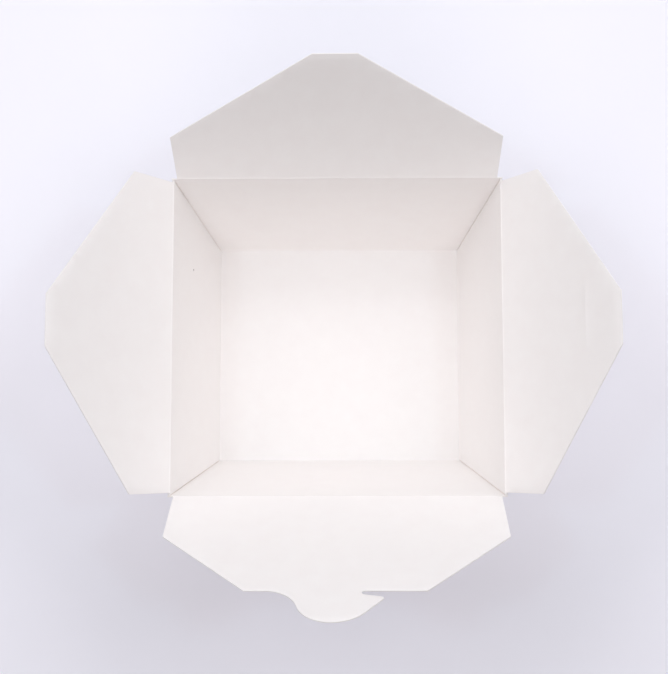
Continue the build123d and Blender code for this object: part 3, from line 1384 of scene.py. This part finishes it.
@dataclass
class TongueFlap(Flap):
    """The front flap, with the hooked locking tongue in the middle of its end.

    Places across the tongue are measured from the flap's middle, and heights from the flap's end.
    """

    tongue_reach: float = 17.3
    tongue_root: float = -15.0
    left_toe: float = -10.2
    right_toe: float = 5.3
    hook_tip: float = 16.6
    hook_fall: float = 1.6
    hook_round: float = 0.9
    slot_root: float = 8.7
    slot_width: float = 1.9
    tip_flat: float = 0.4
    left_arc_share: float = 0.48
    slot_arc_share: float = 0.48

    def end_outline(self) -> tuple[list[Point], list[float]]:
        """Corners and radii of the flap's end, from right to left, with the slot, hook and tongue.

        Returns:
            The corners, and a radius for each.
        """
        end, end_radii = super().end_outline()
        tip = self.reach + self.tongue_reach
        hook_edge = self.reach + self.slot_width
        left_run = math.hypot(self.left_toe - self.tongue_root, self.tongue_reach)
        left_turn = math.atan(self.tongue_reach / (self.left_toe - self.tongue_root))
        right_turn = math.atan((tip - hook_edge - self.hook_fall) / (self.hook_tip - self.right_toe))
        left_tangent = self.left_arc_share * left_run
        right_tangent = self.right_toe - self.left_toe - left_tangent - self.tip_flat
        left_round = left_tangent / math.tan(left_turn / 2)
        right_round = right_tangent / math.tan(right_turn / 2)
        slot_round = self.slot_arc_share * self.slot_width
        tongue = [
            (self.slot_root, self.reach),
            (self.slot_root, hook_edge),
            (self.hook_tip, hook_edge + self.hook_fall),
            (self.right_toe, tip),
            (self.left_toe, tip),
            (self.tongue_root, self.reach),
        ]
        radii = [slot_round, slot_round, self.hook_round, right_round, left_round, left_round]
        return end[:1] + tongue + end[1:], end_radii[:1] + radii + end_radii[1:]


@dataclass(frozen=True)
class Softbox:
    """A square area lamp aimed at the box. Place, aim and size are in metres, power in watts."""

    name: str
    place: Place
    size: float
    power: float
    colour: str
    aim: Place = (0.0, 0.0, 0.05)

    def build(self) -> None:
        """Makes the lamp."""
        data = bpy.data.lights.new(self.name, "AREA")
        data.shape = "SQUARE"
        data.size = self.size
        data.energy = self.power
        data.color = hex_to_linear(self.colour)[:3]
        lamp = bpy.data.objects.new(self.name, data)
        lamp.location = self.place
        lamp.rotation_mode = "QUATERNION"
        lamp.rotation_quaternion = (Vector(self.aim) - Vector(self.place)).to_track_quat("-Z", "Y")
        bpy.context.scene.collection.objects.link(lamp)


@dataclass(frozen=True)
class PhotoCamera:
    """Camera that looks down on the box as the photograph does.

    Attributes:
        place: Where it stands, in millimetres.
        right: Its right-hand direction.
        down: Its downward direction in the picture.
        focal_pixels: Focal length in pixels of the frame.
        centre_pixels: Where its axis meets the frame.
        frame_pixels: Width and height of the frame.
        sensor: Length of the sensor's longer side, in millimetres.
        view_range: Nearest and farthest distance that it sees, in metres.
    """

    place: Place = (6.97, -65.86, 579.53)
    right: Place = (0.99990769, -0.0012299, -0.01353118)
    down: Place = (-0.0028786, -0.9924631, -0.12251)
    focal_pixels: float = 1389.4
    centre_pixels: Point = (337.4, 341.2)
    frame_pixels: Point = (668.0, 674.0)
    sensor: float = 36.0
    view_range: Point = (0.01, 20.0)

    def build(self) -> None:
        """Makes the camera and sets it as the scene's."""
        data = bpy.data.cameras.new("photo_camera")
        long_side = max(self.frame_pixels)
        data.sensor_width = self.sensor
        data.lens = self.focal_pixels * self.sensor / long_side
        data.shift_x = (self.frame_pixels[0] / 2 - self.centre_pixels[0]) / long_side
        data.shift_y = (self.centre_pixels[1] - self.frame_pixels[1] / 2) / long_side
        data.clip_start, data.clip_end = self.view_range
        camera = bpy.data.objects.new("photo_camera", data)
        right = Vector(self.right).normalized()
        up = -Vector(self.down).normalized()
        turn = Matrix((right, up, right.cross(up))).transposed().to_4x4()
        camera.matrix_world = Matrix.Translation(Vector(self.place) * MM) @ turn
        bpy.context.scene.collection.objects.link(camera)
        bpy.context.scene.camera = camera


@dataclass(frozen=True)
class Studio:
    """Pale paper sweep, soft lamps and an even surrounding light.

    Attributes:
        floor_half: Half the floor's width, in metres.
        floor_drop: How far it lies below the box, in millimetres.
        fade_range: From how far to how far, in metres, it fades into the surroundings.
        air_light: How strongly the surroundings light the box.
    """

    floor_colour: str = "#F7F7FE"
    floor_roughness: float = 0.9
    floor_specular: float = 0.2
    floor_half: float = 3.0
    floor_drop: float = 0.2
    fade_range: Point = (0.35, 0.8)
    air_colour: str = "#F4F5FB"
    air_light: float = 0.06
    lamps: tuple[Softbox, ...] = (
        Softbox("front_softbox", (0.0, -0.6, 1.09), 0.9, 4.93, "#FFF5F5"),
        Softbox("top_softbox", (0.0, 0.0, 1.25), 0.6, 0.22, "#E6F4FF"),
        Softbox("back_softbox", (0.0, 0.849, 0.899), 0.7, 3.5, "#FAFBFF"),
        Softbox("left_softbox", (-0.612, 0.354, 0.757), 0.7, 3.67, "#FFFBFD"),
        Softbox("right_softbox", (0.612, 0.354, 0.757), 0.7, 3.67, "#FFFBFD"),
        Softbox("left_ceiling_lamp", (-0.403, 0.0, 1.18), 0.09, 0.66, "#D8F3FF"),
        Softbox("right_ceiling_lamp", (0.442, 0.0, 1.166), 0.09, 0.66, "#D8F3FF"),
    )

    @staticmethod
    def seen_rays(tree: bpy.types.NodeTree) -> bpy.types.NodeSocket:
        """Adds nodes that are 1 for what the camera sees, straight or in a reflection.

        Args:
            tree: Node tree of the floor or of the world.

        Returns:
            The socket that carries it.
        """
        ray = add_node(tree, "ShaderNodeLightPath").outputs
        both = {0: ray["Is Glossy Ray"], 1: ray["Is Transmission Ray"]}
        mirrored = add_node(tree, "ShaderNodeMath", both, operation="MAXIMUM").outputs[0]
        either = {0: ray["Is Camera Ray"], 1: mirrored}
        return add_node(tree, "ShaderNodeMath", either, operation="MAXIMUM").outputs[0]

    def floor_material(self) -> bpy.types.Material:
        """Matt backdrop paper, which fades into the pale surroundings far from the box.

        Returns:
            The material.
        """
        material, tree, shader = new_material("matt_backdrop_paper")
        shader_inputs = {
            "Base Color": hex_to_linear(self.floor_colour),
            "Roughness": self.floor_roughness,
            "Specular IOR Level": self.floor_specular,
        }
        set_inputs(shader, shader_inputs)
        place = add_node(tree, "ShaderNodeTexCoord").outputs["Object"]
        distance = add_node(tree, "ShaderNodeVectorMath", {0: place}, operation="LENGTH").outputs["Value"]
        fade = {"Value": distance, "From Min": self.fade_range[0], "From Max": self.fade_range[1]}
        far = add_node(tree, "ShaderNodeMapRange", fade, interpolation_type="SMOOTHSTEP").outputs["Result"]
        both = {0: far, 1: self.seen_rays(tree)}
        share = add_node(tree, "ShaderNodeMath", both, operation="MULTIPLY").outputs[0]
        air = add_node(tree, "ShaderNodeEmission", {"Color": hex_to_linear(self.air_colour)}).outputs[0]
        mixed = add_node(tree, "ShaderNodeMixShader", {0: share, 1: shader.outputs[0], 2: air}).outputs[0]
        set_inputs(tree.nodes["Material Output"], {"Surface": mixed})
        return material

    def build(self) -> None:
        """Makes the floor, the lamps and the world."""
        half = self.floor_half
        drop = -self.floor_drop * MM
        mesh = bpy.data.meshes.new("backdrop_floor")
        corners = [(-half, -half, drop), (half, -half, drop), (half, half, drop), (-half, half, drop)]
        mesh.from_pydata(corners, [], [(0, 1, 2, 3)])
        mesh.materials.append(self.floor_material())
        floor = bpy.data.objects.new("backdrop_floor", mesh)
        bpy.context.scene.collection.objects.link(floor)
        for lamp in self.lamps:
            lamp.build()
        world = bpy.data.worlds.new("studio_air")
        world.use_nodes = True
        tree = world.node_tree
        shares = {"Value": self.seen_rays(tree), "To Min": self.air_light, "To Max": 1.0}
        level = add_node(tree, "ShaderNodeMapRange", shares).outputs["Result"]
        set_inputs(tree.nodes["Background"], {"Color": hex_to_linear(self.air_colour), "Strength": level})
        bpy.context.scene.world = world


def clear_scene() -> None:
    """Removes what Blender starts with."""
    for thing in list(bpy.data.objects):
        bpy.data.objects.remove(thing)


def crease_of(frame: dict, side: Side) -> Vector:
    """Middle of a flap's crease, from its joint, in millimetres."""
    joint = next(joint for joint in frame["joints"] if joint["child"] == side.flap)
    return Vector(joint["pos_m"]) / MM


def main() -> None:
    """Builds the box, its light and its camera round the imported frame."""
    logging.basicConfig(level=logging.INFO, format="%(message)s")
    clear_scene()
    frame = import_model()
    bpy.context.scene.view_settings.view_transform = "Standard"

    board = Board()
    finishes = Finishes.make()
    fold_tree = FoldTree()
    tray = Tray(
        board=board,
        mouth_half_width=crease_of(frame, Side.RIGHT).x,
        mouth_half_depth=crease_of(frame, Side.BACK).y,
        long_crease=crease_of(frame, Side.BACK).z,
        side_crease=crease_of(frame, Side.RIGHT).z,
    )
    side_shape = dict(tray=tray, shoulder=19.6, shoulder_half=59.3, reach=58.4, end_half=9.1, bow=0.2)
    back_shape = dict(tray=tray, shoulder=20.2, shoulder_half=61.3, reach=57.6, end_half=8.0, bow=0.1)
    front_shape = dict(tray=tray, shoulder=27.3, shoulder_half=61.0, reach=60.3, end_half=30.3, bow=0.1)
    mark = PressedLine(height=41.9, start=-9.5, end=16.5)
    flaps = [
        Flap(Side.LEFT, angle=50.3, seed=11.0, **side_shape),
        Flap(Side.RIGHT, angle=52.8, seed=12.0, pressed_line=mark, **side_shape),
        Flap(Side.BACK, angle=55.6, seed=13.0, **back_shape),
        TongueFlap(Side.FRONT, angle=58.7, seed=14.0, **front_shape),
    ]
    pieces = tray.build(finishes, fold_tree)
    for flap in flaps:
        pieces += flap.build(finishes, fold_tree)
    for piece in pieces:
        LOG.info("%s: %d faces", piece.name, len(piece.data.polygons))

    Studio().build()
    PhotoCamera().build()


if __name__ == "__main__":
    main()
